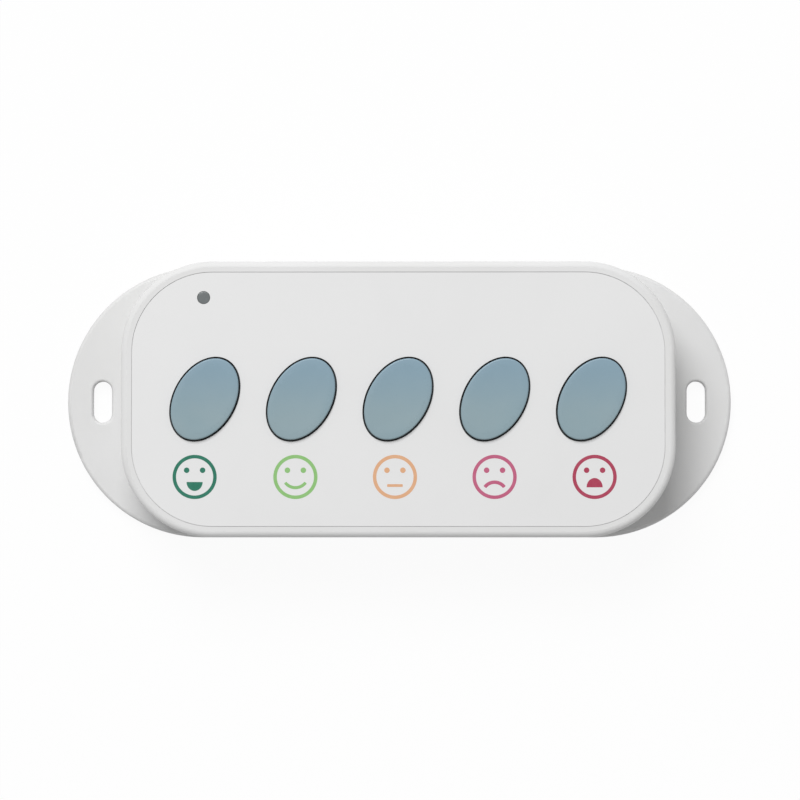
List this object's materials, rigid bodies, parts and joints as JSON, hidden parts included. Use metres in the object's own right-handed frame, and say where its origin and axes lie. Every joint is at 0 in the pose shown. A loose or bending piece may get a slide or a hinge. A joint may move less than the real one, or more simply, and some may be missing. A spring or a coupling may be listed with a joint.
{
  "type": "feedback button terminal",
  "caption": "Slim stadium-backed counter or wall terminal with a row of leaning oval rating keys, a printed face and a screw slot in each ear.",
  "frame": {"origin": "centre of the flat back, on the surface that the terminal lies on", "axes": "+X along the row of keys to the right, +Y up the face, +Z out of the face"},
  "size_m": [0.148, 0.0604, 0.0264],
  "materials": {
    "housing_white": "fine satin moulded grain",
    "overlay_print": "matt printed film",
    "key_blue_grey": "satin",
    "window_smoke": "smoked, glossy",
    "screw_steel": "zinc plated",
    "board_green": "solder mask",
    "black_plastic": "fine matt",
    "plunger_white": "plain",
    "cell_jacket": "printed jacket",
    "contact_nickel": "nickel plated",
    "led_white": "gloss",
    "shield_tin": "tin plated",
    "antenna_jacket": "smooth insulation"
  },
  "bodies": {
    "housing": {"rear_shell": "housing_white", "front_cover": "housing_white", "front_overlay": "overlay_print", "light_pipe": "window_smoke", "cover_screws": "screw_steel", "main_board": "board_green", "board_screws": "screw_steel", "status_led": "led_white", "buzzer": "black_plastic", "service_header": "black_plastic", "radio_module": "board_green", "radio_shield": "shield_tin", "antenna_wire": "antenna_jacket", "plate_contacts": "contact_nickel", "spring_contacts": "contact_nickel", "battery_holder_1": "black_plastic", "battery_holder_2": "black_plastic", "aa_cell_1": "cell_jacket", "aa_cell_2": "cell_jacket", "key_switch_1": "black_plastic", "key_switch_2": "black_plastic", "key_switch_3": "black_plastic", "key_switch_4": "black_plastic", "key_switch_5": "black_plastic"},
    "key_1": {"key_cap_1": "key_blue_grey", "switch_plunger_1": "plunger_white"},
    "key_2": {"key_cap_2": "key_blue_grey", "switch_plunger_2": "plunger_white"},
    "key_3": {"key_cap_3": "key_blue_grey", "switch_plunger_3": "plunger_white"},
    "key_4": {"key_cap_4": "key_blue_grey", "switch_plunger_4": "plunger_white"},
    "key_5": {"key_cap_5": "key_blue_grey", "switch_plunger_5": "plunger_white"}
  },
  "joints": [
    {"name": "key_1_press", "type": "slide", "parent": "housing", "child": "key_1", "axis": [0, 0, -1], "range_m": [0, 0.001], "stiffness_N_per_m": 1200, "springref_m": -0.0006},
    {"name": "key_2_press", "type": "slide", "parent": "housing", "child": "key_2", "axis": [0, 0, -1], "range_m": [0, 0.001], "stiffness_N_per_m": 1200, "springref_m": -0.0006},
    {"name": "key_3_press", "type": "slide", "parent": "housing", "child": "key_3", "axis": [0, 0, -1], "range_m": [0, 0.001], "stiffness_N_per_m": 1200, "springref_m": -0.0006},
    {"name": "key_4_press", "type": "slide", "parent": "housing", "child": "key_4", "axis": [0, 0, -1], "range_m": [0, 0.001], "stiffness_N_per_m": 1200, "springref_m": -0.0006},
    {"name": "key_5_press", "type": "slide", "parent": "housing", "child": "key_5", "axis": [0, 0, -1], "range_m": [0, 0.001], "stiffness_N_per_m": 1200, "springref_m": -0.0006}
  ]
}
